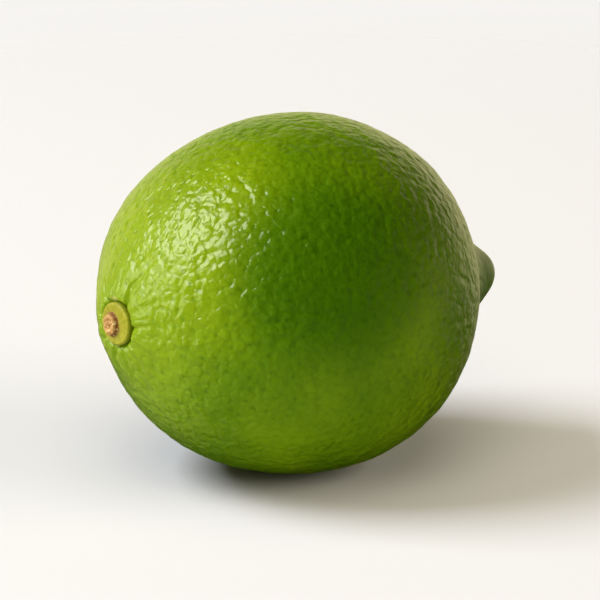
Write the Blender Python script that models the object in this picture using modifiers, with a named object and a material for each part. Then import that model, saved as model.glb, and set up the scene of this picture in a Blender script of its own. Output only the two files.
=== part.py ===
# A whole lime with its stem button, in metres, +Z up.
# The long axis runs along X, with the stem end at -X and the nipple at +X.
# The fruit lies on its belly: its small flat rest spot is on z = 0, below the middle of its length.

import bmesh
import bpy
from math import asin, atan2, cos, exp, pi, radians, sin, tan
from mathutils import Matrix, Vector

MM = 0.001

# The body, measured from the plane of its widest girth.
BELLY_RADIUS = 25.0 * MM
STEM_REACH = 29.0 * MM
BLOSSOM_REACH = 24.6 * MM
STEM_FULLNESS = 2.16
BLOSSOM_FULLNESS = 2.03

# The nipple stands on the blossom end.
NIPPLE_HEIGHT = 7.0 * MM
NIPPLE_RADIUS = 5.65 * MM
NIPPLE_BLUNTNESS = 2.3

# The stem button sits in a shallow cavity with furrows running out from it.
# The cavity's floor and the button are turned a little out of square, towards -Y.
CAVITY_DEPTH = 1.0 * MM
CAVITY_RADIUS = 3.7 * MM
CAVITY_BLUNTNESS = 3.6
BUTTON_TURN = radians(9.0)
TURN_RADIUS = 7.0 * MM
FURROW_DEPTH = 0.3 * MM
FURROW_COUNT = 9
FURROW_START = 4.5 * MM
FURROW_LENGTH = 4.0 * MM

# Both tips sag a little below the middle line, and five broad segments swell the girth.
STEM_SAG = 0.85 * MM
BLOSSOM_SAG = 0.6 * MM
SEGMENT_SWELL = 0.1 * MM
SEGMENT_COUNT = 5

# Where the fruit grew a little fuller or leaner: the way out from its middle, spread and height.
SWELLS = (
    (Vector((-0.75, 0.57, 0.33)), radians(22.0), 0.6 * MM),
    (Vector((-0.84, 0.36, -0.40)), radians(22.0), -0.35 * MM),
    (Vector((0.79, -0.56, -0.25)), radians(14.0), -0.2 * MM),
    (Vector((0.71, -0.19, 0.68)), radians(18.0), 0.3 * MM),
    (Vector((-0.15, 0.41, 0.90)), radians(25.0), 0.1 * MM),
)

# The calyx disc and the dried stub of the stem on it.
CALYX_RADIUS = 3.0 * MM
CALYX_THICKNESS = 0.95 * MM
CALYX_EDGE = 0.4 * MM
CALYX_DOME = 0.2 * MM
STUB_RADIUS = 1.7 * MM
STUB_HEIGHT = 0.8 * MM
STUB_EDGE = 0.3 * MM
SEAT_GAP = 0.4 * MM

# How it lies: the nipple end dips, and the belly is pressed flat where it rests.
AXIS_DIP = radians(2.0)
FLAT_DEPTH = 0.6 * MM
CUTTER_SIZE = 60.0 * MM
CUTTER_HEIGHT = 10.0 * MM

# The mesh: rings gather towards both ends, where the shape is finest.
GIRTH_SEGMENTS = 64
RING_SEGMENTS = 48
RING_GATHER = 0.28
BUTTON_STEPS = 40
ARC_POINTS = 5

RIND = {"name": "lime_rind", "colour": "#6F9419", "roughness": 0.38}
CALYX = {"name": "stem_button_tissue", "colour": "#A89A3C", "roughness": 0.7}


def clear_scene():
    for thing in list(bpy.data.objects):
        bpy.data.objects.remove(thing)


def new_collection(name):
    collection = bpy.data.collections.new(name)
    bpy.context.scene.collection.children.link(collection)
    return collection


def linear(hex_colour):
    parts = [int(hex_colour[i:i + 2], 16) / 255 for i in (1, 3, 5)]
    low = [part / 12.92 for part in parts]
    high = [((part + 0.055) / 1.055) ** 2.4 for part in parts]
    return [h if part > 0.04045 else l for part, l, h in zip(parts, low, high)] + [1.0]


def finish_material(spec):
    material = bpy.data.materials.new(spec["name"])
    material.use_nodes = True
    shader = material.node_tree.nodes["Principled BSDF"]
    shader.inputs["Base Color"].default_value = linear(spec["colour"])
    shader.inputs["Roughness"].default_value = spec["roughness"]
    shader.inputs["Metallic"].default_value = 0.0
    return material


def add_object(mesh, name, collection, material):
    piece = bpy.data.objects.new(name, mesh)
    collection.objects.link(piece)
    if material:
        mesh.materials.append(material)
    return piece


def sag(x):
    # How far the middle line hangs below the axis, at a place along it.
    if x < 0:
        return STEM_SAG * min(-x / STEM_REACH, 1.0) ** 4
    return BLOSSOM_SAG * min(x / BLOSSOM_REACH, 1.0) ** 4


def furrow(radius, around):
    # Furrows start at the cavity's rim, deepen, and fade out down the shoulder.
    wave = 0.5 - 0.5 * cos(FURROW_COUNT * around + 1.3 * sin(2 * around))
    band = exp(-((radius - FURROW_START) / FURROW_LENGTH) ** 2)
    return FURROW_DEPTH * wave * band


def rind_point(direction):
    # Carry a point of the unit sphere, whose poles are on X, to the skin of the lime.
    latitude = asin(max(-1.0, min(1.0, direction.x)))
    latitude += RING_GATHER * sin(2 * latitude)
    around = atan2(direction.z, direction.y)
    radius = BELLY_RADIUS * cos(latitude)
    if latitude < 0:
        x = -STEM_REACH * abs(sin(latitude)) ** (2 / STEM_FULLNESS)
        x += CAVITY_DEPTH * exp(-(radius / CAVITY_RADIUS) ** CAVITY_BLUNTNESS)
        x += furrow(radius, around)
        x -= tan(BUTTON_TURN) * radius * cos(around) * exp(-(radius / TURN_RADIUS) ** 2)
    else:
        x = BLOSSOM_REACH * sin(latitude) ** (2 / BLOSSOM_FULLNESS)
        x += NIPPLE_HEIGHT * exp(-(radius / NIPPLE_RADIUS) ** NIPPLE_BLUNTNESS)
    radius += SEGMENT_SWELL * cos(SEGMENT_COUNT * around) * cos(latitude) ** 2
    point = Vector((x, radius * cos(around), radius * sin(around) - sag(x)))
    outward = point.normalized()
    for way, spread, height in SWELLS:
        point += outward * height * exp(-(outward.angle(way) / spread) ** 2)
    return point


def build_fruit(collection, material):
    shape = bmesh.new()
    poles_on_x = Matrix.Rotation(pi / 2, 4, "Y")
    bmesh.ops.create_uvsphere(
        shape, u_segments=GIRTH_SEGMENTS, v_segments=RING_SEGMENTS, radius=1.0, matrix=poles_on_x
    )
    for vertex in shape.verts:
        vertex.co = rind_point(vertex.co.normalized())
    mesh = bpy.data.meshes.new("fruit")
    shape.to_mesh(mesh)
    shape.free()
    mesh.shade_smooth()
    return add_object(mesh, "fruit", collection, material)


def arc(centre_radius, centre_height, radius, start, end):
    # Points of an arc in the profile, with its angles in degrees from the outward radius.
    points = []
    for step in range(ARC_POINTS + 1):
        angle = radians(start + (end - start) * step / ARC_POINTS)
        points.append((centre_radius + radius * cos(angle), centre_height + radius * sin(angle)))
    return points


def button_profile():
    # Radius and height, from the middle of the stub's broken end down to the middle of the seat.
    top = CALYX_THICKNESS + STUB_HEIGHT
    shoulder = CALYX_THICKNESS + CALYX_DOME
    profile = [(0.0, top)]
    profile += arc(STUB_RADIUS - STUB_EDGE, top - STUB_EDGE, STUB_EDGE, 90, 0)
    profile += [(STUB_RADIUS, shoulder)]
    profile += arc(CALYX_RADIUS - CALYX_EDGE, CALYX_THICKNESS - CALYX_EDGE, CALYX_EDGE, 90, 0)
    profile += arc(CALYX_RADIUS - CALYX_EDGE, CALYX_EDGE, CALYX_EDGE, 0, -90)
    profile += [(0.0, 0.0)]
    return profile


def build_button(collection, material):
    profile = button_profile()
    mesh = bpy.data.meshes.new("stem_button")
    edges = [(i, i + 1) for i in range(len(profile) - 1)]
    mesh.from_pydata([(radius, 0.0, height) for radius, height in profile], edges, [])
    button = add_object(mesh, "stem_button", collection, material)
    screw = button.modifiers.new("turn", "SCREW")
    screw.steps = BUTTON_STEPS
    screw.render_steps = BUTTON_STEPS
    screw.use_merge_vertices = True
    screw.merge_threshold = 0.01 * MM
    screw.use_smooth_shade = True
    # The seat faces +X, into the cavity.
    seat = -(STEM_REACH - CAVITY_DEPTH + SEAT_GAP)
    button.location = (seat, 0.0, -sag(seat))
    button.rotation_euler = (0.0, -pi / 2, BUTTON_TURN)
    return button


def build_rest_cutter(collection):
    # A block whose top is the surface that the lime lies on.
    shape = bmesh.new()
    size = Matrix.Diagonal((CUTTER_SIZE, CUTTER_SIZE, CUTTER_HEIGHT, 1.0))
    bmesh.ops.create_cube(shape, size=1.0, matrix=size)
    mesh = bpy.data.meshes.new("rest_cutter")
    shape.to_mesh(mesh)
    shape.free()
    cutter = add_object(mesh, "rest_cutter", collection, None)
    cutter.location = (0.0, 0.0, -CUTTER_HEIGHT / 2)
    cutter.hide_render = True
    cutter.display_type = "WIRE"
    return cutter


def build_lime():
    clear_scene()
    parts = new_collection("lime")
    cutters = new_collection("cutters")
    fruit = build_fruit(parts, finish_material(RIND))
    button = build_button(parts, finish_material(CALYX))
    cutter = build_rest_cutter(cutters)

    # The empty is the fruit's own axis at its widest girth, centred on the whole length.
    nipple_tip = BLOSSOM_REACH + NIPPLE_HEIGHT
    stub_tip = STEM_REACH - CAVITY_DEPTH + SEAT_GAP + CALYX_THICKNESS + STUB_HEIGHT
    axis = bpy.data.objects.new("lime_axis", None)
    parts.objects.link(axis)
    axis.location = ((stub_tip - nipple_tip) / 2, 0.0, BELLY_RADIUS - FLAT_DEPTH)
    axis.rotation_euler = (0.0, AXIS_DIP, 0.0)
    fruit.parent = axis
    button.parent = axis

    flat = fruit.modifiers.new("rest_spot", "BOOLEAN")
    flat.operation = "DIFFERENCE"
    flat.solver = "EXACT"
    flat.object = cutter


build_lime()
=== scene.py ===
from math import asin, atan2, cos, exp, pi, radians, sin, tan

import bmesh
import bpy
from mathutils import Matrix, Vector, noise


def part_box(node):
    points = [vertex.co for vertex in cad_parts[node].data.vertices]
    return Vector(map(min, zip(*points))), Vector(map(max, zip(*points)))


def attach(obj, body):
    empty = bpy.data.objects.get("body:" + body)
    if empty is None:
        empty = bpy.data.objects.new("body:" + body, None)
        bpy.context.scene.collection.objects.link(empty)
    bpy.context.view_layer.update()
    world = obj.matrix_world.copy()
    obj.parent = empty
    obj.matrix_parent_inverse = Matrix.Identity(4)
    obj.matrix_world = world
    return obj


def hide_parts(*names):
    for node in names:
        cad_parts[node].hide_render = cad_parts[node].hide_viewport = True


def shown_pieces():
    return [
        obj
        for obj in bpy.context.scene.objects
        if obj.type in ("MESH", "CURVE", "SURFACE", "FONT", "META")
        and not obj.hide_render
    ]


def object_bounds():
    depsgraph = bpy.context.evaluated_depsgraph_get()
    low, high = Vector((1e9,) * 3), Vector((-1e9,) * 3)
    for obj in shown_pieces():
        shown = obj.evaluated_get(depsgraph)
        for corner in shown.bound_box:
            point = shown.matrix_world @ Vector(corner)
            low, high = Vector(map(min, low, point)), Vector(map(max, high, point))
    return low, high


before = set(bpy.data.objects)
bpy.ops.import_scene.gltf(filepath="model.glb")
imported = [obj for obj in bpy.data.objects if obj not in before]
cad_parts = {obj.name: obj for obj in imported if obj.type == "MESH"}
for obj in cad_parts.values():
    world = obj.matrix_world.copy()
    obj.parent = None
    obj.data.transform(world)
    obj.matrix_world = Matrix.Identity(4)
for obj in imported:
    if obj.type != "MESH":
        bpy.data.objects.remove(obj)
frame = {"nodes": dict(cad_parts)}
cadLow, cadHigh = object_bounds()
print("frame loaded:", ", ".join(frame["nodes"]))

mm = 0.001


def linearColour(hexColour):
    # sRGB hex to the linear values that Blender's sockets take
    out = []
    for i in (1, 3, 5):
        part = int(hexColour[i:i + 2], 16) / 255
        out.append(part / 12.92 if part <= 0.04045 else ((part + 0.055) / 1.055) ** 2.4)
    return (*out, 1.0)


def smoothStep(low, high, value):
    t = max(0.0, min(1.0, (value - low) / (high - low)))
    return t * t * (3 - 2 * t)


def addNode(tree, kind, settings=None, inputs=None):
    # one node with its settings; each input takes a value or the socket that feeds it
    node = tree.nodes.new(kind)
    for key, value in (settings or {}).items():
        setattr(node, key, value)
    for key, value in (inputs or {}).items():
        if isinstance(value, bpy.types.NodeSocket):
            tree.links.new(value, node.inputs[key])
        else:
            node.inputs[key].default_value = value
    return node


def newMaterial(name):
    material = bpy.data.materials.new(name)
    material.use_nodes = True
    return material, material.node_tree, material.node_tree.nodes["Principled BSDF"]


def meshFromBmesh(name, shape):
    mesh = bpy.data.meshes.new(name)
    shape.to_mesh(mesh)
    shape.free()
    mesh.shade_smooth()
    return mesh


def addPiece(name, mesh, material):
    mesh.materials.clear()
    mesh.materials.append(material)
    piece = bpy.data.objects.new(name, mesh)
    bpy.context.scene.collection.objects.link(piece)
    return piece


# The lime is shaped in its own frame, whose X runs from the stem end to the nipple.
limeShape = {
    "bellyRadius": 24.9 * mm,
    "stemReach": 29.0 * mm,
    "blossomReach": 24.55 * mm,
    "stemFullness": 2.16,  # 2 is an ellipse, and more is fuller
    "blossomFullness": 2.03,
    "nippleHeight": 6.95 * mm,
    "nippleRadius": 5.65 * mm,
    "nippleBluntness": 2.3,
    "nippleLift": 0.2 * mm,
    "scarRadius": 0.8 * mm,  # where the style dropped off the tip of the nipple
    "scarDepth": 0.22 * mm,
    "cavityDepth": 1.0 * mm,
    "cavityRadius": 3.1 * mm,
    "cavityBluntness": 8.0,
    "buttonTurn": radians(9.0),  # the cavity and its button face a little to one side
    "turnRadius": 7.0 * mm,
    "stemSag": 0.85 * mm,  # both tips hang a little below the middle line
    "blossomSag": 0.65 * mm,
    "segmentSwell": 0.1 * mm,
    "segmentCount": 5,
    "axisDip": radians(2.0),
}

# Where the fruit grew a little fuller or leaner: the way out, the spread and the height.
swells = (
    (Vector((-0.75, 0.57, 0.33)), radians(22.0), 0.63 * mm),
    (Vector((-0.84, 0.36, -0.40)), radians(22.0), -0.37 * mm),
    (Vector((0.79, -0.56, -0.25)), radians(14.0), -0.19 * mm),
    (Vector((0.71, -0.19, 0.68)), radians(18.0), 0.32 * mm),
    (Vector((-0.08, -0.29, -0.95)), radians(22.0), 0.15 * mm),
    (Vector((-0.15, 0.41, 0.90)), radians(25.0), 0.11 * mm),
)

# The swollen collar round the button, and how creases and pleats pinch it.
stemFolds = {
    "collarStart": 1.9 * mm,  # the collar rises here,
    "collarTop": 3.9 * mm,  # is highest here
    "collarEnd": 10.5 * mm,  # and has faded into the shoulder here
    "collarHeight": 0.66 * mm,
    "rim": (2.8 * mm, 3.7 * mm),  # where the folds start and where they have their full depth
    "wander": 0.16,  # how far a crease strays to its sides, in radians
    "wanderSize": 2.2 * mm,
    "width": 0.25 * mm,
    "widening": 0.05,  # gained for each unit of length past widenFrom
    "widenFrom": 3.0 * mm,
    "sharpness": 1.4,
    "fading": 2.5,
    "pleatCount": 8.5,
    "pleatDepth": 0.16 * mm,
    "pleatLength": 7.0 * mm,
    "pleatReach": 11.0 * mm,
}

# Creases that run out from the button: the angle round it from +Y towards +Z, depth and reach.
creases = (
    (radians(116.0), 0.95 * mm, 7.5 * mm),
    (radians(176.0), 0.75 * mm, 4.8 * mm),
    (radians(212.0), 0.40 * mm, 4.5 * mm),
    (radians(230.0), 0.35 * mm, 7.5 * mm),
    (radians(251.0), 0.45 * mm, 7.5 * mm),
    (radians(281.0), 0.45 * mm, 7.5 * mm),
    (radians(318.0), 0.40 * mm, 5.0 * mm),
    (radians(4.0), 0.45 * mm, 5.0 * mm),
    (radians(48.0), 0.40 * mm, 6.0 * mm),
    (radians(84.0), 0.30 * mm, 4.5 * mm),
)

peelMesh = {
    "facesAcross": 128,  # quads along each edge of the cube that becomes the peel
    "endGather": 0.10,  # draws the quads a little towards both ends
    "clearance": 0.02 * mm,  # kept inside the CAD's box
    "restBlend": 0.25 * mm,  # the height over which the belly rounds off into its flat spot
}

# What is marked on the peel for its relief and its material: radii from start to end of each fade.
peelMarks = {
    "nipple": (4.5 * mm, 10.0 * mm),
    "stem": (3.0 * mm, 13.0 * mm),
    "scar": (0.5 * mm, 1.2 * mm),
    "flake": (0.2 * mm, 1.0 * mm),
    "nippleCalm": 0.75,  # the share of the relief that the nipple loses
    "stemCalm": 0.45,
    "flakeStrength": 0.6,
    "flakeWidth": 0.6,  # across against along
    "flakeRadius": 3.40 * mm,  # a shred of dry skin at the button's upper edge
    "flakeAngle": radians(80.0),
    "finePleatCount": 11.0,  # the pleats that only the bump shows
    "finePleatLength": 5.0 * mm,
}


def sag(x):
    # how far the middle line hangs below the axis
    shape = limeShape
    if x < 0:
        return shape["stemSag"] * min(-x / shape["stemReach"], 1.0) ** 4
    return shape["blossomSag"] * min(x / shape["blossomReach"], 1.0) ** 4


def creaseDepth(radius, around):
    # how deep the skin lies below the plain shoulder: less than nothing on the swollen collar
    fold = stemFolds
    rise = smoothStep(fold["collarStart"], fold["collarTop"], radius)
    fall = 1 - smoothStep(fold["collarTop"], fold["collarEnd"], radius)
    depth = -fold["collarHeight"] * rise * fall
    rim = smoothStep(*fold["rim"], radius)
    for angle, pinch, reach in creases:
        stray = noise.noise(Vector((radius / fold["wanderSize"], 7.0 * angle, 0.5)))
        turn = around - angle - fold["wander"] * stray
        if cos(turn) > 0:
            width = fold["width"] + fold["widening"] * max(0.0, radius - fold["widenFrom"])
            valley = exp(-(abs(radius * sin(turn)) / width) ** fold["sharpness"])
            depth += pinch * valley * rim * exp(-(radius / reach) ** fold["fading"])
    count = fold["pleatCount"]
    pleat = noise.noise(Vector((count * cos(around), count * sin(around), radius / fold["pleatLength"])))
    fade = exp(-(radius / fold["pleatReach"]) ** 3)
    return depth + fold["pleatDepth"] * pleat * rim * fade


def peelPoint(direction):
    # carries a point of the unit sphere, whose poles are on X, to the skin of the lime
    shape = limeShape
    latitude = asin(max(-1.0, min(1.0, direction.x)))
    latitude += peelMesh["endGather"] * sin(2 * latitude)
    around = atan2(direction.z, direction.y)
    radius = shape["bellyRadius"] * cos(latitude)
    lift = 0.0
    if latitude < 0:
        x = -shape["stemReach"] * abs(sin(latitude)) ** (2 / shape["stemFullness"])
        x += shape["cavityDepth"] * exp(-(radius / shape["cavityRadius"]) ** shape["cavityBluntness"])
        x += creaseDepth(radius, around)
        turn = exp(-(radius / shape["turnRadius"]) ** 2)
        x -= tan(shape["buttonTurn"]) * radius * cos(around) * turn
    else:
        nipple = exp(-(radius / shape["nippleRadius"]) ** shape["nippleBluntness"])
        x = shape["blossomReach"] * sin(latitude) ** (2 / shape["blossomFullness"])
        x += shape["nippleHeight"] * nipple
        x -= shape["scarDepth"] * exp(-(radius / shape["scarRadius"]) ** 2)
        lift = shape["nippleLift"] * nipple
    radius += shape["segmentSwell"] * cos(shape["segmentCount"] * around) * cos(latitude) ** 2
    point = Vector((x, radius * cos(around), radius * sin(around) - sag(x) + lift))
    outward = point.normalized()
    for way, spread, height in swells:
        point += outward * height * exp(-(outward.angle(way) / spread) ** 2)
    return point


def buildPeelBase():
    # a cube cut into even quads and blown up to a ball, so that no poles pinch the peel
    shape = bmesh.new()
    bmesh.ops.create_cube(shape, size=2.0)
    cuts = peelMesh["facesAcross"] - 1
    bmesh.ops.subdivide_edges(shape, edges=shape.edges[:], cuts=cuts, use_grid_fill=True)
    for vertex in shape.verts:
        even = Vector([tan(part * pi / 4) for part in vertex.co])
        vertex.co = peelPoint(even.normalized())
    bmesh.ops.recalc_face_normals(shape, faces=shape.faces[:])
    mesh = meshFromBmesh("peelBase", shape)

    look = peelMarks
    marks = {"reliefShare": [], "nippleNear": [], "stemNear": [], "scarNear": [], "flakeNear": []}
    stemPolar = []
    for vertex in mesh.vertices:
        x, y, z = vertex.co
        radius = (y * y + (z + sag(x)) ** 2) ** 0.5
        around = atan2(z + sag(x), y)
        onNipple = (1 - smoothStep(*look["nipple"], radius)) if x > 0 else 0.0
        byStem = (1 - smoothStep(*look["stem"], radius)) if x < 0 else 0.0
        scar = (1 - smoothStep(*look["scar"], radius)) if x > 0 else 0.0
        flakeAcross = (radius - look["flakeRadius"]) / look["flakeWidth"]
        flakeAway = Vector((flakeAcross, radius * (around - look["flakeAngle"]))).length
        flake = look["flakeStrength"] * (1 - smoothStep(*look["flake"], flakeAway)) if x < 0 else 0.0
        relief = 1.0 - look["nippleCalm"] * onNipple - look["stemCalm"] * byStem
        for values, amount in zip(marks.values(), (relief, onNipple, byStem, scar, flake)):
            values.append(amount)
        count = look["finePleatCount"]
        stemPolar += [count * cos(around), count * sin(around), radius / look["finePleatLength"]]
    for name, values in marks.items():
        mesh.attributes.new(name, "FLOAT", "POINT").data.foreach_set("value", values)
    mesh.attributes.new("stemPolar", "FLOAT_VECTOR", "POINT").data.foreach_set("vector", stemPolar)
    return mesh


peelRelief = {
    "Gland Spacing": 1.25 * mm,
    "Gland Width": 0.50 * mm,
    "Gland Depth": 0.09 * mm,
    "Swell Spacing": 1.3 * mm,
    "Swell Height": 0.18 * mm,
    "Wave Spacing": 3.4 * mm,
    "Wave Height": 0.24 * mm,
    "Seed": 7,
}


def buildReliefTree(material):
    # oil glands stand evenly apart all over the skin, each a pit of its own size, between soft swells
    tree = bpy.data.node_groups.new("peelRelief", "GeometryNodeTree")
    tree.interface.new_socket("Geometry", in_out="INPUT", socket_type="NodeSocketGeometry")
    for name, value in peelRelief.items():
        kind = "NodeSocketInt" if isinstance(value, int) else "NodeSocketFloat"
        tree.interface.new_socket(name, in_out="INPUT", socket_type=kind)
    tree.interface.new_socket("Geometry", in_out="OUTPUT", socket_type="NodeSocketGeometry")

    given = addNode(tree, "NodeGroupInput").outputs
    place = addNode(tree, "GeometryNodeInputPosition").outputs[0]
    normal = addNode(tree, "GeometryNodeInputNormal").outputs[0]
    amount = addNode(
        tree, "GeometryNodeInputNamedAttribute", {"data_type": "FLOAT"}, {"Name": "reliefShare"}
    ).outputs["Attribute"]

    # how many glands to try for: far more than the spacing lets stand
    square = addNode(
        tree, "ShaderNodeMath", {"operation": "POWER"}, {0: given["Gland Spacing"], 1: -2.0}
    ).outputs[0]
    density = addNode(tree, "ShaderNodeMath", {"operation": "MULTIPLY"}, {0: square, 1: 4.0}).outputs[0]
    glands = addNode(
        tree, "GeometryNodeDistributePointsOnFaces", {"distribute_method": "POISSON"},
        {
            "Mesh": given["Geometry"], "Distance Min": given["Gland Spacing"],
            "Density Max": density, "Seed": given["Seed"],
        },
    ).outputs["Points"]
    reach = addNode(
        tree, "GeometryNodeProximity", {"target_element": "POINTS"}, {"Geometry": glands}
    ).outputs["Distance"]
    nearest = addNode(tree, "GeometryNodeSampleNearest", None, {"Geometry": glands}).outputs[0]
    # sockets 2 and 3 are the least and the greatest size, and both width and depth follow it
    size = addNode(
        tree, "FunctionNodeRandomValue", {"data_type": "FLOAT"},
        {2: 0.2, 3: 1.0, "ID": nearest, "Seed": given["Seed"]},
    ).outputs[1]
    share = addNode(
        tree, "ShaderNodeMath", {"operation": "MULTIPLY_ADD"}, {0: size, 1: 0.6, 2: 0.5}
    ).outputs[0]
    width = addNode(
        tree, "ShaderNodeMath", {"operation": "MULTIPLY"}, {0: given["Gland Width"], 1: share}
    ).outputs[0]
    pit = addNode(
        tree, "ShaderNodeMapRange", {"interpolation_type": "SMOOTHSTEP"},
        {"Value": reach, "From Min": 0.0, "From Max": width, "To Min": 1.0, "To Max": 0.0},
    ).outputs[0]
    sized = addNode(tree, "ShaderNodeMath", {"operation": "MULTIPLY"}, {0: pit, 1: size}).outputs[0]
    gland = addNode(tree, "ShaderNodeMath", {"operation": "MULTIPLY"}, {0: sized, 1: amount}).outputs[0]

    relief = addNode(
        tree, "ShaderNodeMath", {"operation": "MULTIPLY"}, {0: gland, 1: given["Gland Depth"]}
    ).outputs[0]
    relief = addNode(tree, "ShaderNodeMath", {"operation": "MULTIPLY"}, {0: relief, 1: -1.0}).outputs[0]
    # swells calm down where the marks say, and the broad waves run on everywhere
    for name, calm in (("Swell", amount), ("Wave", 1.0)):
        scale = addNode(
            tree, "ShaderNodeMath", {"operation": "DIVIDE"}, {0: 1.0, 1: given[name + " Spacing"]}
        ).outputs[0]
        wave = addNode(
            tree, "ShaderNodeTexNoise", {"noise_dimensions": "4D"},
            {"Vector": place, "W": given["Seed"], "Scale": scale, "Detail": 0.5},
        ).outputs[0]
        # a little more than the noise's middle, so that the highest swells stay inside the CAD's box
        level = addNode(tree, "ShaderNodeMath", {"operation": "SUBTRACT"}, {0: wave, 1: 0.55}).outputs[0]
        height = addNode(
            tree, "ShaderNodeMath", {"operation": "MULTIPLY"}, {0: level, 1: given[name + " Height"]}
        ).outputs[0]
        relief = addNode(
            tree, "ShaderNodeMath", {"operation": "MULTIPLY_ADD"}, {0: height, 1: calm, 2: relief}
        ).outputs[0]

    marked = addNode(
        tree, "GeometryNodeStoreNamedAttribute", {"data_type": "FLOAT", "domain": "POINT"},
        {"Name": "gland", "Geometry": given["Geometry"], "Value": gland},
    ).outputs[0]
    push = addNode(
        tree, "ShaderNodeVectorMath", {"operation": "SCALE"}, {0: normal, "Scale": relief}
    ).outputs[0]
    moved = addNode(tree, "GeometryNodeSetPosition", None, {"Geometry": marked, "Offset": push}).outputs[0]
    real = addNode(tree, "GeometryNodeRealizeInstances", None, {"Geometry": moved}).outputs[0]
    coated = addNode(
        tree, "GeometryNodeSetMaterial", None, {"Geometry": real, "Material": material}
    ).outputs[0]
    addNode(tree, "NodeGroupOutput", None, {"Geometry": coated})
    return tree


def makeRelief(mesh, material):
    # runs the tree on the smooth peel and returns the plain mesh
    holder = bpy.data.objects.new("peelHolder", mesh)
    bpy.context.scene.collection.objects.link(holder)
    tree = buildReliefTree(material)
    modifier = holder.modifiers.new("peelRelief", "NODES")
    modifier.node_group = tree
    for item in tree.interface.items_tree:
        if item.in_out == "INPUT" and item.name in peelRelief:
            modifier[item.identifier] = peelRelief[item.name]
    ready = holder.evaluated_get(bpy.context.evaluated_depsgraph_get())
    result = bpy.data.meshes.new_from_object(ready)
    holder.modifiers.remove(modifier)
    bpy.data.objects.remove(holder)
    return result


rindLook = {
    "middle": Vector((-0.7 * mm, 0.0, 24.4 * mm)),  # of the lime, for the sides named below
    "deepGreen": "#4E7002",
    "freshGreen": "#6C8803",
    "paintedLightGreen": "#7F9106",
    "paintedLightSide": Vector((-0.90, -0.08, 0.42)),  # painted light: the flank that faces the softbox is painted lighter and yellower
    "paintedLightSpread": (0.65, 1.0),  # cosines from the side, where its colour starts and is full
    "paintedLightStrength": 0.6,
    # painted shade: the front, which the softbox barely reaches, is painted a darker green
    "paintedShadeGreen": "#2C5600",
    "paintedShadeSide": Vector((-0.31, -0.86, 0.40)),
    "paintedShadeSpread": (0.78, 0.99),
    "paintedShadeStrength": 0.75,
    # painted shade, multiplied into the colour in the sunken glands and along the creases
    "paintedGlandShade": "#C8DEA8",
    "paintedCreaseShade": "#EEF2D8",
    "nippleGreen": "#42660A",
    "scarBrown": "#8F7C4A",
    "flakeTan": "#C9BE8A",
    "patchSize": 16.0 * mm,
    "patchBlend": (0.3, 0.7),
    "cellSize": 1.25 * mm,
    "cellWander": 0.6 * mm,
    "cushionHeight": 0.20 * mm,
    "creaseWidth": 0.26 * mm,
    "creaseDepth": 0.012 * mm,
    "creaseComes": (0.35, 0.6),
    "creaseLeast": 0.25,
    "swellSize": 1.3 * mm,
    "swellHeight": 0.30 * mm,
    "poreSpacing": 2.3 * mm,
    "poreWidth": 0.80 * mm,
    "poreDepth": 0.06 * mm,
    "pleatHeight": 0.13 * mm,
    "fleshShare": 0.70,  # the flesh follows the bump less closely than the wax
    "waxTint": "#FFFFD0",
    "ior": 1.45,
    "specular": 0.08,
    "subsurface": 0.35,
    "subsurfaceScale": 1.0 * mm,
    "subsurfaceRadius": (0.6, 1.0, 0.1),
    "roughness": 0.38,
    "gloss": 0.48,
    "nippleGloss": 0.22,
    "glossRoughness": 0.21,
}


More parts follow.
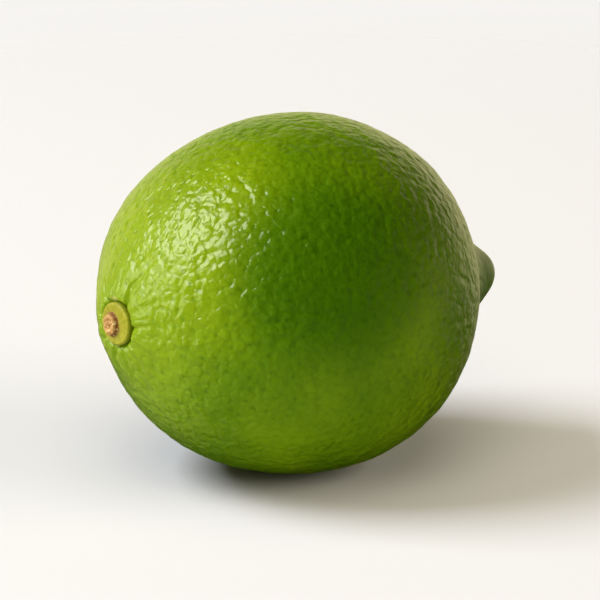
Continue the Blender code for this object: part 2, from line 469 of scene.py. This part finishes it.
def waxyLimeRind():
    # Waxy citrus rind, grown: a thin wax skin gives soft broken gloss over a saturated green
    # flesh, in small cushions with faint creases and sunken oil glands between them.
    look = rindLook
    material, tree, shader = newMaterial("waxyLimeRind")
    place = addNode(tree, "ShaderNodeTexCoord").outputs["Object"]

    patches = addNode(
        tree, "ShaderNodeTexNoise", None, {"Vector": place, "Scale": 1 / look["patchSize"], "Detail": 2.0}
    ).outputs[0]
    blend = addNode(
        tree, "ShaderNodeMapRange", None,
        {"Value": patches, "From Min": look["patchBlend"][0], "From Max": look["patchBlend"][1]},
    ).outputs[0]
    colour = addNode(
        tree, "ShaderNodeMix", {"data_type": "RGBA"},
        {0: blend, 6: linearColour(look["deepGreen"]), 7: linearColour(look["freshGreen"])},
    ).outputs[2]
    fromMiddle = addNode(
        tree, "ShaderNodeVectorMath", {"operation": "SUBTRACT"}, {0: place, 1: look["middle"]}
    ).outputs[0]
    outward = addNode(
        tree, "ShaderNodeVectorMath", {"operation": "NORMALIZE"}, {0: fromMiddle}
    ).outputs[0]
    # painted light and painted shade: the flank that faces the softbox is painted lighter and yellower,
    # and the front, which the softbox barely reaches, a darker green
    for side in ("paintedLight", "paintedShade"):
        low, high = look[side + "Spread"]
        facing = addNode(
            tree, "ShaderNodeVectorMath", {"operation": "DOT_PRODUCT"},
            {0: outward, 1: look[side + "Side"].normalized()},
        ).outputs["Value"]
        amount = addNode(
            tree, "ShaderNodeMapRange", {"interpolation_type": "SMOOTHSTEP"},
            {
                "Value": facing, "From Min": low, "From Max": high,
                "To Min": 0.0, "To Max": look[side + "Strength"],
            },
        ).outputs[0]
        colour = addNode(
            tree, "ShaderNodeMix", {"data_type": "RGBA"},
            {0: amount, 6: colour, 7: linearColour(look[side + "Green"])},
        ).outputs[2]

    # small cushions, whose borders wander, with creases between them that come and go
    wander = addNode(
        tree, "ShaderNodeTexNoise", None, {"Vector": place, "Scale": 1 / look["cellSize"], "Detail": 1.0}
    ).outputs["Color"]
    astray = addNode(
        tree, "ShaderNodeVectorMath", {"operation": "MULTIPLY_ADD"},
        {0: wander, 1: [look["cellWander"] * 2] * 3, 2: place},
    ).outputs[0]
    border = addNode(
        tree, "ShaderNodeTexVoronoi", {"feature": "DISTANCE_TO_EDGE"},
        {"Vector": astray, "Scale": 1 / look["cellSize"]},
    ).outputs["Distance"]
    come = addNode(
        tree, "ShaderNodeTexNoise", None, {"Vector": place, "Scale": 0.4 / look["cellSize"], "Detail": 1.0}
    ).outputs[0]
    strength = addNode(
        tree, "ShaderNodeMapRange", None,
        {
            "Value": come, "From Min": look["creaseComes"][0], "From Max": look["creaseComes"][1],
            "To Min": look["creaseLeast"], "To Max": 1.0,
        },
    ).outputs[0]
    crease = addNode(
        tree, "ShaderNodeMapRange", {"interpolation_type": "SMOOTHSTEP"},
        {
            "Value": border, "From Min": 0.0, "From Max": look["creaseWidth"] / look["cellSize"],
            "To Min": strength, "To Max": 0.0,
        },
    ).outputs[0]
    centre = addNode(
        tree, "ShaderNodeTexVoronoi", {"feature": "SMOOTH_F1"},
        {"Vector": astray, "Scale": 1 / look["cellSize"], "Smoothness": 0.5},
    ).outputs["Distance"]
    cushion = addNode(tree, "ShaderNodeMath", {"operation": "POWER"}, {0: centre, 1: 2.0}).outputs[0]
    gland = addNode(tree, "ShaderNodeAttribute", {"attribute_name": "gland"}).outputs["Fac"]
    # painted shade: the colour is darkened along the creases and in the sunken glands
    for amount, tint in ((crease, "paintedCreaseShade"), (gland, "paintedGlandShade")):
        colour = addNode(
            tree, "ShaderNodeMix", {"data_type": "RGBA", "blend_type": "MULTIPLY"},
            {0: amount, 6: colour, 7: linearColour(look[tint])},
        ).outputs[2]
    for mark, paint in (
        ("nippleNear", "nippleGreen"), ("scarNear", "scarBrown"), ("flakeNear", "flakeTan"),
    ):
        amount = addNode(tree, "ShaderNodeAttribute", {"attribute_name": mark}).outputs["Fac"]
        colour = addNode(
            tree, "ShaderNodeMix", {"data_type": "RGBA"},
            {0: amount, 6: colour, 7: linearColour(look[paint])},
        ).outputs[2]
    tree.links.new(colour, shader.inputs["Base Color"])

    # heights in metres, calmer on the nipple and beside the button, where fine pleats take over
    swell = addNode(
        tree, "ShaderNodeTexNoise", None, {"Vector": place, "Scale": 1 / look["swellSize"], "Detail": 1.0}
    ).outputs[0]
    pores = addNode(
        tree, "ShaderNodeTexVoronoi", {"feature": "F1"},
        {"Vector": place, "Scale": 1 / look["poreSpacing"]},
    ).outputs["Distance"]
    pore = addNode(
        tree, "ShaderNodeMapRange", {"interpolation_type": "SMOOTHSTEP"},
        {
            "Value": pores, "From Min": 0.0, "From Max": look["poreWidth"] / look["poreSpacing"],
            "To Min": 1.0, "To Max": 0.0,
        },
    ).outputs[0]
    polar = addNode(tree, "ShaderNodeAttribute", {"attribute_name": "stemPolar"}).outputs["Vector"]
    pleats = addNode(
        tree, "ShaderNodeTexNoise", None, {"Vector": polar, "Scale": 1.0, "Detail": 1.0}
    ).outputs[0]
    byStem = addNode(tree, "ShaderNodeAttribute", {"attribute_name": "stemNear"}).outputs["Fac"]
    pleat = addNode(tree, "ShaderNodeMath", {"operation": "MULTIPLY"}, {0: pleats, 1: byStem}).outputs[0]
    height = 0.0
    for amount, size in (
        (swell, look["swellHeight"]), (cushion, -look["cushionHeight"]), (crease, -look["creaseDepth"]),
        (pore, -look["poreDepth"]),
    ):
        height = addNode(
            tree, "ShaderNodeMath", {"operation": "MULTIPLY_ADD"}, {0: amount, 1: size, 2: height}
        ).outputs[0]
    rough = addNode(tree, "ShaderNodeAttribute", {"attribute_name": "reliefShare"}).outputs["Fac"]
    height = addNode(tree, "ShaderNodeMath", {"operation": "MULTIPLY"}, {0: height, 1: rough}).outputs[0]
    height = addNode(
        tree, "ShaderNodeMath", {"operation": "MULTIPLY_ADD"},
        {0: pleat, 1: look["pleatHeight"], 2: height},
    ).outputs[0]
    for socket, share in (("Normal", look["fleshShare"]), ("Coat Normal", 1.0)):
        bump = addNode(
            tree, "ShaderNodeBump", None, {"Strength": 1.0, "Distance": share, "Height": height}
        )
        tree.links.new(bump.outputs[0], shader.inputs[socket])

    shader.inputs["Roughness"].default_value = look["roughness"]
    shader.inputs["IOR"].default_value = look["ior"]
    shader.inputs["Specular IOR Level"].default_value = look["specular"]
    shader.inputs["Specular Tint"].default_value = linearColour(look["waxTint"])
    shader.inputs["Subsurface Weight"].default_value = look["subsurface"]
    shader.inputs["Subsurface Scale"].default_value = look["subsurfaceScale"]
    shader.inputs["Subsurface Radius"].default_value = look["subsurfaceRadius"]
    onNipple = addNode(tree, "ShaderNodeAttribute", {"attribute_name": "nippleNear"}).outputs["Fac"]
    gloss = addNode(
        tree, "ShaderNodeMapRange", None,
        {"Value": onNipple, "To Min": look["gloss"], "To Max": look["nippleGloss"]},
    ).outputs[0]
    tree.links.new(gloss, shader.inputs["Coat Weight"])
    shader.inputs["Coat Roughness"].default_value = look["glossRoughness"]
    return material


def seatPeel(mesh):
    # turn to the resting dip, match the CAD's box, and press the belly flat on the surface
    low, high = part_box("fruit")
    mesh.transform(Matrix.Rotation(limeShape["axisDip"], 4, "Y"))
    xs = [v.co.x for v in mesh.vertices]
    ys = [v.co.y for v in mesh.vertices]
    zs = [v.co.z for v in mesh.vertices]
    across = (low.y + high.y) / 2 - (min(ys) + max(ys)) / 2
    place = Vector((high.x - max(xs), across, high.z - max(zs)))
    place.x -= peelMesh["clearance"]
    place.z -= peelMesh["clearance"]
    mesh.transform(Matrix.Translation(place))
    blend = peelMesh["restBlend"]
    for vertex in mesh.vertices:
        over = vertex.co.z - low.z
        if over < blend:
            vertex.co.z = low.z + blend * exp(min(0.0, over - blend) / blend)
    return place


rind = waxyLimeRind()
peel = makeRelief(buildPeelBase(), rind)
peelPlace = seatPeel(peel)
peelPiece = addPiece("limePeel", peel, rind)
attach(peelPiece, "root")
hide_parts("fruit")
print("peel:", len(peel.polygons), "quads, seated at", [round(part / mm, 2) for part in peelPlace], "mm")


# The button stands on its seat, with Z running out of the fruit.
buttonShape = {
    "seatReach": 28.7 * mm,  # from the lime's widest girth
    "discRadius": 3.0 * mm,
    "discThickness": 0.95 * mm,
    "rimRound": 0.34 * mm,
    "rimSteps": 12,
    "rimWave": 0.035,
    "underBulge": 0.35,  # below 1, so that the lower half of the rim is fuller
    "faceDish": 0.10 * mm,
    "faceRidge": 0.05 * mm,
    "faceRings": 22,
    "spokeCount": 9.0,
    "sides": 128,
    "stubRadius": 1.70 * mm,
    "stubWaist": 0.84,  # its narrow way against its long way
    "stubShift": 0.60 * mm,  # the stalk broke off a little to one side
    "stubDrop": 0.16 * mm,
    "stubRings": 34,
    "stubRoot": 0.25 * mm,  # how deep it stands in the disc
    "stubTaper": 0.98,
    "stubEdge": 0.36 * mm,  # the width over which its edge rises
    "stubWave": 0.07,
    "stubRise": 0.45 * mm,
    "stubTop": 0.71 * mm,  # over the disc, at most, to stay inside the CAD's box
    "crownRadius": 1.10 * mm,
    "crownWidth": 0.36 * mm,
    "crownRise": 0.22 * mm,
    "lumpHeight": 0.46 * mm,
    "lumpSize": 0.46 * mm,
}


def turnedMesh(name, rings, sides, warp):
    # a closed skin of rings round Z, whose first and last rings shrink to points; warp bends each point
    shape = bmesh.new()
    rows = []
    for radius, height in rings:
        count = sides if radius > 0 else 1
        turns = [2 * pi * side / sides for side in range(count)]
        rows.append([shape.verts.new(warp(radius, height, turn)) for turn in turns])
    for below, above in zip(rows, rows[1:]):
        for side in range(sides):
            after = (side + 1) % sides
            corners = [below[side % len(below)], below[after % len(below)]]
            corners += [above[after % len(above)], above[side % len(above)]]
            shape.faces.new(list(dict.fromkeys(corners)))
    bmesh.ops.recalc_face_normals(shape, faces=shape.faces[:])
    return meshFromBmesh(name, shape)


def markMesh(mesh, name, rule):
    # one number for each point, which the material reads by name
    values = [rule(vertex.co) for vertex in mesh.vertices]
    mesh.attributes.new(name, "FLOAT", "POINT").data.foreach_set("value", values)


def discRings():
    shape = buttonShape
    half = shape["discThickness"] / 2
    flat = shape["discRadius"] - shape["rimRound"]
    rings = [(0.0, 0.0), (flat * 0.5, 0.0)]
    for step in range(shape["rimSteps"] + 1):
        angle = radians(-90 + 180 * step / shape["rimSteps"])
        bulge = cos(angle) if angle > 0 else cos(angle) ** shape["underBulge"]
        rings.append((flat + shape["rimRound"] * bulge, half + half * sin(angle)))
    count = shape["faceRings"]
    rings += [(flat * (1 - step / count), 2 * half) for step in range(1, count)]
    return rings + [(0.0, 2 * half)]


def spokeWave(turn, out):
    # the faint spokes of the disc's face, for its shape and for its colour
    count = buttonShape["spokeCount"]
    return noise.noise(Vector((count * cos(turn), count * sin(turn), 1.5 * out)))


def warpDisc(radius, height, turn):
    # a rim that is not quite round, and a face that dishes a little and carries faint spokes
    shape = buttonShape
    wave = noise.noise(Vector((1.6 * cos(turn), 1.6 * sin(turn), 3.0)))
    wave += 0.4 * noise.noise(Vector((5.0 * cos(turn), 5.0 * sin(turn), 1.0)))
    out = radius / shape["discRadius"]
    onFace = smoothStep(0.8, 1.0, height / shape["discThickness"])
    ridge = smoothStep(0.3, 0.7, out) * (1 - 0.5 * smoothStep(0.9, 1.0, out))
    height -= onFace * shape["faceDish"] * sin(pi * min(1.0, out)) ** 2
    height += onFace * shape["faceRidge"] * spokeWave(turn, out) * ridge
    radius *= 1 + shape["rimWave"] * wave
    return Vector((radius * cos(turn), radius * sin(turn), height))


def stubRings():
    shape = buttonShape
    root = shape["discThickness"] - shape["stubRoot"]
    rings = [(0.0, root), (shape["stubRadius"] * shape["stubTaper"], root)]
    count = shape["stubRings"]
    rings += [(shape["stubRadius"] * (1 - step / count), shape["discThickness"]) for step in range(count)]
    return rings + [(0.0, shape["discThickness"])]


def warpStub(radius, height, turn):
    # the broken end of the stalk: a torn, lumpy crown round a shallow hollow
    shape = buttonShape
    x, y = radius * cos(turn), radius * sin(turn)
    if height >= shape["discThickness"]:
        edge = smoothStep(0.0, shape["stubEdge"], shape["stubRadius"] - radius)
        crown = exp(-((radius - shape["crownRadius"]) / shape["crownWidth"]) ** 2)
        place = Vector((x, y, 0.0)) / shape["lumpSize"]
        lump = noise.noise(place) + 0.5 * noise.noise(place * 2.3)
        tear = noise.noise(Vector((7.0 * cos(turn), 7.0 * sin(turn), radius / (1.5 * mm))))
        height += edge * (shape["stubRise"] + shape["crownRise"] * crown)
        height += edge * shape["lumpHeight"] * (0.45 * lump + 0.25 * tear) * (0.5 + 0.5 * crown)
        height = min(height, shape["discThickness"] + shape["stubTop"])
    grow = 1 + shape["stubWave"] * noise.noise(Vector((2.2 * cos(turn), 2.2 * sin(turn), 8.0)))
    across = y * grow * shape["stubWaist"] + shape["stubShift"]
    return Vector((x * grow - shape["stubDrop"], across, height))


def seatButton(mesh):
    # carries the button from its own frame to the stem end, and on with the peel
    shape = buttonShape
    seat = Vector((-shape["seatReach"], 0.0, -sag(-shape["seatReach"])))
    mesh.transform(Matrix.Rotation(-pi / 2, 4, "Y"))
    mesh.transform(Matrix.Rotation(limeShape["buttonTurn"], 4, "Z"))
    mesh.transform(Matrix.Translation(seat))
    mesh.transform(Matrix.Rotation(limeShape["axisDip"], 4, "Y"))
    mesh.transform(Matrix.Translation(peelPlace))


calyxLook = {
    "faceYellow": "#828112",
    "spokeYellow": "#908B22",
    "sideOlive": "#707A10",
    "innerBrown": "#8F7E30",
    "spokeFade": (-0.1, 0.5),
    "sideFade": (0.55 * mm, 0.9 * mm),  # heights over the seat
    "innerFade": (1.6 * mm, 2.1 * mm),  # from the middle of the stub
    "mottle": 1.9,  # how strongly the grain breaks up the three tints
    "grainSize": 0.35 * mm,
    "grainHeight": 0.03 * mm,
    "roughness": 0.55,
}


def calyxFlesh():
    # Fresh calyx flesh, a disc left by the fallen petals: matt yellow-green with paler spokes,
    # olive down its side and a brown tinge where the dry stalk starts.
    look = calyxLook
    material, tree, shader = newMaterial("freshCalyxFlesh")
    place = addNode(tree, "ShaderNodeTexCoord").outputs["Object"]
    grain = addNode(
        tree, "ShaderNodeTexNoise", None, {"Vector": place, "Scale": 1 / look["grainSize"], "Detail": 2.0}
    ).outputs[0]
    mottle = addNode(
        tree, "ShaderNodeMath", {"operation": "MULTIPLY"}, {0: grain, 1: look["mottle"]}
    ).outputs[0]
    colour = linearColour(look["faceYellow"])
    for mark, paint in (("spoke", "spokeYellow"), ("side", "sideOlive"), ("inner", "innerBrown")):
        amount = addNode(tree, "ShaderNodeAttribute", {"attribute_name": mark}).outputs["Fac"]
        mottled = addNode(
            tree, "ShaderNodeMath", {"operation": "MULTIPLY", "use_clamp": True}, {0: mottle, 1: amount}
        ).outputs[0]
        colour = addNode(
            tree, "ShaderNodeMix", {"data_type": "RGBA"},
            {0: mottled, 6: colour, 7: linearColour(look[paint])},
        ).outputs[2]
    tree.links.new(colour, shader.inputs["Base Color"])
    bump = addNode(
        tree, "ShaderNodeBump", None, {"Strength": 1.0, "Distance": look["grainHeight"], "Height": grain}
    )
    tree.links.new(bump.outputs[0], shader.inputs["Normal"])
    shader.inputs["Roughness"].default_value = look["roughness"]
    shader.inputs["Specular IOR Level"].default_value = 0.3
    shader.inputs["Subsurface Weight"].default_value = 0.25
    shader.inputs["Subsurface Scale"].default_value = 0.4 * mm
    shader.inputs["Subsurface Radius"].default_value = (1.0, 0.9, 0.2)
    return material


stubLook = {
    "hollowShadeBrown": "#6E431C",
    "ridgeLightTan": "#AE8456",
    "fleckCream": "#DEC598",
    "ridgeLightFade": (1.15 * mm, 1.62 * mm),  # heights over the seat
    "fleckFade": (0.54, 0.72),
    "fleckStrength": 0.75,
    "fibreSize": 0.42 * mm,
    "fibreHeight": 0.06 * mm,
    "roughness": 0.7,
}


def driedStalkFibre():
    # Dried stalk wood, torn: its brown and tan are laid by height, as painted shade in the hollows and
    # painted light on the ridges, with pale flecks of fibre.
    look = stubLook
    material, tree, shader = newMaterial("driedStalkFibre")
    place = addNode(tree, "ShaderNodeTexCoord").outputs["Object"]
    grain = addNode(
        tree, "ShaderNodeTexNoise", None, {"Vector": place, "Scale": 1 / look["fibreSize"], "Detail": 3.0}
    ).outputs[0]
    ridge = addNode(tree, "ShaderNodeAttribute", {"attribute_name": "ridge"}).outputs["Fac"]
    colour = addNode(
        tree, "ShaderNodeMix", {"data_type": "RGBA"},
        {0: ridge, 6: linearColour(look["hollowShadeBrown"]), 7: linearColour(look["ridgeLightTan"])},
    ).outputs[2]
    fleck = addNode(
        tree, "ShaderNodeMapRange", {"interpolation_type": "SMOOTHSTEP"},
        {
            "Value": grain, "From Min": look["fleckFade"][0], "From Max": look["fleckFade"][1],
            "To Min": 0.0, "To Max": look["fleckStrength"],
        },
    ).outputs[0]
    colour = addNode(
        tree, "ShaderNodeMix", {"data_type": "RGBA"},
        {0: fleck, 6: colour, 7: linearColour(look["fleckCream"])},
    ).outputs[2]
    tree.links.new(colour, shader.inputs["Base Color"])
    bump = addNode(
        tree, "ShaderNodeBump", None, {"Strength": 1.0, "Distance": look["fibreHeight"], "Height": grain}
    )
    tree.links.new(bump.outputs[0], shader.inputs["Normal"])
    shader.inputs["Roughness"].default_value = look["roughness"]
    shader.inputs["Specular IOR Level"].default_value = 0.35
    return material


def spokeMark(point):
    out = point.xy.length / buttonShape["discRadius"]
    return smoothStep(*calyxLook["spokeFade"], spokeWave(atan2(point.y, point.x), out))


def sideMark(point):
    return 1 - smoothStep(*calyxLook["sideFade"], point.z)


def innerMark(point):
    away = point.xy - Vector((-buttonShape["stubDrop"], buttonShape["stubShift"]))
    return 1 - smoothStep(*calyxLook["innerFade"], away.length)


# painted light and shade on the stub: tan on the high crown, brown in the hollows
def ridgeLightMark(point):
    return smoothStep(*stubLook["ridgeLightFade"], point.z)


disc = turnedMesh("calyxDisc", discRings(), buttonShape["sides"], warpDisc)
markMesh(disc, "spoke", spokeMark)
markMesh(disc, "side", sideMark)
markMesh(disc, "inner", innerMark)
stub = turnedMesh("stemStub", stubRings(), buttonShape["sides"], warpStub)
markMesh(stub, "ridge", ridgeLightMark)
for name, mesh, material in (("calyxDisc", disc, calyxFlesh()), ("stemStub", stub, driedStalkFibre())):
    seatButton(mesh)
    piece = addPiece(name, mesh, material)
    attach(piece, "root")
    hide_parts("stem_button")
    print(name + ":", len(mesh.polygons), "faces")


# Lengths in metres. An azimuth is from the camera's own direction, and minus is to its left.
studio = {
    "floorReach": 0.30,  # the floor has melted into the backdrop here
    "floorFade": 0.20,
    "floorMargin": 1.3,
    "floorSetBack": 0.06,
    "floorColour": "#949494",
    "fillColour": "#FFF4E0",
    "fillDistance": 3.0,
    "fillSize": 2.4,
    "keyAzimuth": radians(-81.0),  # a softbox on the left, which lights the lime alone
    "keyElevation": radians(42.0),
    "keyDistance": 1.6,
    "keySize": 1.02,
    "keyPower": 45.0,
    "keyColour": "#FFFBEE",
    "floorKeySize": 0.85,  # a second one, for the floor alone
    "floorKeyAzimuth": radians(-91.0),
    "floorKeyElevation": radians(47.0),
    "floorKeyPower": 67.0,
    "floorKeyColour": "#F3F6FF",
    "cardPower": 10.6,  # a yellowish card low in front, which lights the lime alone
    "cardColour": "#F4FFB0",
    "cardAzimuth": radians(-16.0),
    "cardElevation": radians(4.0),
    "cardDistance": 1.2,
    "cardSize": 0.9,
    "sheenPower": 5.5,  # a dimmer card low on the left, which only the gloss sees
    "sheenColour": "#FFFFE0",
    "sheenAzimuth": radians(-85.0),
    "sheenElevation": radians(9.0),
    "sheenDistance": 1.2,
    "sheenSize": 0.6,
    "wallColour": "#FAF2B2",
    "wallFoot": (-0.50, -0.05),  # heights where the walls' glow begins and is full
    "roomDark": 0.03,
    "backdrop": "#F7F5F3",
}

# Soft fills that light the floor alone, so that its shadow stays pale: azimuth, elevation, power.
floorFills = (
    (0.0, 90.0, 50.0),
    (-8.0, 52.0, 78.0),
    (75.0, 20.0, 160.0),
)

# Pale walls of the room: azimuth, the cosines where each starts and is full, glow, and the
# heights over which it fades. The sheen is a dim glow from below.
walls = (
    (125.0, 0.2, 0.9, 0.48, 0.10, 0.60),
    (180.0, 0.4, 1.0, 0.95, 0.10, 0.75),
    (-100.0, 0.2, 0.9, 0.56, 0.20, 0.60),
)
lowSheen = (-95.0, 0.2, 0.9, 0.90, -0.50, -0.05)

view = {
    "yaw": radians(31.0),
    "elevation": radians(17.0),
    "distance": 0.5545,
    "lens": 240.0,
    "aimRight": -0.31 * mm,
    "aimUp": -1.03 * mm,
}


def lookAt(thing, target):
    thing.rotation_euler = (target - thing.location).to_track_quat("-Z", "Y").to_euler()


def directionFrom(azimuth, elevation):
    # unit vector out from the lime; azimuth 0 is towards the camera, and minus is to its left
    turn = view["yaw"] - azimuth
    return Vector((-sin(turn) * cos(elevation), -cos(turn) * cos(elevation), sin(elevation)))


def buildFloor():
    # a pale round sheet set back from the camera, whose edge melts into the backdrop
    shape = bmesh.new()
    size = studio["floorReach"] * studio["floorMargin"]
    bmesh.ops.create_grid(shape, x_segments=1, y_segments=1, size=size)
    mesh = meshFromBmesh("floor", shape)
    middle = directionFrom(pi, 0.0) * studio["floorSetBack"]
    mesh.transform(Matrix.Translation((middle.x, middle.y, cadLow.z)))
    material, tree, shader = newMaterial("paleStudioPaper")
    place = addNode(tree, "ShaderNodeTexCoord").outputs["Object"]
    away = addNode(
        tree, "ShaderNodeVectorMath", {"operation": "DISTANCE"}, {0: place, 1: middle}
    ).outputs["Value"]
    edge = addNode(
        tree, "ShaderNodeMapRange", {"interpolation_type": "SMOOTHSTEP"},
        {
            "Value": away, "From Min": studio["floorReach"] - studio["floorFade"],
            "From Max": studio["floorReach"], "To Min": 1.0, "To Max": 0.0,
        },
    )
    tree.links.new(edge.outputs[0], shader.inputs["Alpha"])
    shader.inputs["Base Color"].default_value = linearColour(studio["floorColour"])
    shader.inputs["Roughness"].default_value = 0.9
    shader.inputs["Specular IOR Level"].default_value = 0.1
    floor = addPiece("floor", mesh, material)
    floor.visible_glossy = False
    return floor


def buildCamera(girthCentre):
    data = bpy.data.cameras.new("camera")
    data.lens = view["lens"]
    data.sensor_width = 36.0
    data.clip_start = 0.01
    camera = bpy.data.objects.new("camera", data)
    bpy.context.scene.collection.objects.link(camera)
    towards = directionFrom(0.0, view["elevation"])
    right = Vector((cos(view["yaw"]), -sin(view["yaw"]), 0.0))
    up = towards.cross(right)
    target = girthCentre + view["aimRight"] * right + view["aimUp"] * up
    camera.location = target + view["distance"] * towards
    lookAt(camera, target)
    bpy.context.scene.camera = camera


def areaLight(name, direction, distance, target, size, power, colour, only):
    # a square softbox that lights only the pieces it is given
    data = bpy.data.lights.new(name, "AREA")
    data.shape = "SQUARE"
    data.size = size
    data.energy = power
    data.color = linearColour(colour)[:3]
    lamp = bpy.data.objects.new(name, data)
    bpy.context.scene.collection.objects.link(lamp)
    lamp.location = target + distance * direction
    lookAt(lamp, target)
    lamp.visible_camera = False
    lit = bpy.data.collections.new(name + "Lights")
    for piece in only:
        lit.objects.link(piece)
    lamp.light_linking.receiver_collection = lit
    return lamp


def addGlow(tree, direction, height, wall, glow):
    # one wall's glow on top of the glow so far: it fades to both sides and upwards
    azimuth, start, full, strength, low, high = wall
    facing = addNode(
        tree, "ShaderNodeVectorMath", {"operation": "DOT_PRODUCT"},
        {0: direction, 1: directionFrom(radians(azimuth), 0.0)},
    ).outputs["Value"]
    across = addNode(
        tree, "ShaderNodeMapRange", {"interpolation_type": "SMOOTHSTEP"},
        {"Value": facing, "From Min": start, "From Max": full, "To Min": 0.0, "To Max": strength},
    ).outputs[0]
    upwards = addNode(
        tree, "ShaderNodeMapRange", {"interpolation_type": "SMOOTHSTEP"},
        {"Value": height, "From Min": low, "From Max": high, "To Min": 1.0, "To Max": 0.0},
    ).outputs[0]
    return addNode(
        tree, "ShaderNodeMath", {"operation": "MULTIPLY_ADD"}, {0: across, 1: upwards, 2: glow}
    ).outputs[0]


def buildWorld():
    # a dark room with pale walls low down and a dim sheen from below; the camera itself sees an
    # even pale backdrop
    world = bpy.data.worlds.new("studio")
    bpy.context.scene.world = world
    world.use_nodes = True
    tree = world.node_tree
    direction = addNode(tree, "ShaderNodeTexCoord").outputs["Generated"]
    height = addNode(tree, "ShaderNodeSeparateXYZ", None, {"Vector": direction}).outputs["Z"]
    glow = studio["roomDark"]
    for wall in walls:
        glow = addGlow(tree, direction, height, wall, glow)
    aboveFloor = addNode(
        tree, "ShaderNodeMapRange", {"interpolation_type": "SMOOTHSTEP"},
        {"Value": height, "From Min": studio["wallFoot"][0], "From Max": studio["wallFoot"][1]},
    ).outputs[0]
    glow = addNode(tree, "ShaderNodeMath", {"operation": "MULTIPLY"}, {0: glow, 1: aboveFloor}).outputs[0]
    glow = addGlow(tree, direction, height, lowSheen, glow)
    room = tree.nodes["Background"]
    room.inputs["Color"].default_value = linearColour(studio["wallColour"])
    tree.links.new(glow, room.inputs["Strength"])
    seen = addNode(
        tree, "ShaderNodeBackground", None, {"Color": linearColour(studio["backdrop"]), "Strength": 1.0}
    )
    rays = addNode(tree, "ShaderNodeLightPath").outputs["Is Camera Ray"]
    both = addNode(
        tree, "ShaderNodeMixShader", None, {0: rays, 1: room.outputs[0], 2: seen.outputs[0]}
    )
    tree.links.new(both.outputs[0], tree.nodes["World Output"].inputs["Surface"])


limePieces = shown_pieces()
floor = buildFloor()
buildCamera(peelPlace)
floorMiddle = Vector((0.0, 0.0, cadLow.z))
areaLight(
    "softbox", directionFrom(studio["keyAzimuth"], studio["keyElevation"]), studio["keyDistance"],
    peelPlace, studio["keySize"], studio["keyPower"], studio["keyColour"], limePieces,
)
areaLight(
    "floorSoftbox", directionFrom(studio["floorKeyAzimuth"], studio["floorKeyElevation"]),
    studio["keyDistance"], peelPlace, studio["floorKeySize"], studio["floorKeyPower"],
    studio["floorKeyColour"], [floor],
)
for azimuth, elevation, power in floorFills:
    areaLight(
        "floorFill", directionFrom(radians(azimuth), radians(elevation)), studio["fillDistance"],
        floorMiddle, studio["fillSize"], power, studio["fillColour"], [floor],
    )
card = areaLight(
    "frontCard", directionFrom(studio["cardAzimuth"], studio["cardElevation"]), studio["cardDistance"],
    peelPlace, studio["cardSize"], studio["cardPower"], studio["cardColour"], limePieces,
)
card.visible_glossy = False
sheen = areaLight(
    "sideSheen", directionFrom(studio["sheenAzimuth"], studio["sheenElevation"]), studio["sheenDistance"],
    peelPlace, studio["sheenSize"], studio["sheenPower"], studio["sheenColour"], limePieces,
)
sheen.visible_diffuse = False
buildWorld()
bpy.context.scene.view_settings.view_transform = "Standard"
print("floor, light and camera ready")
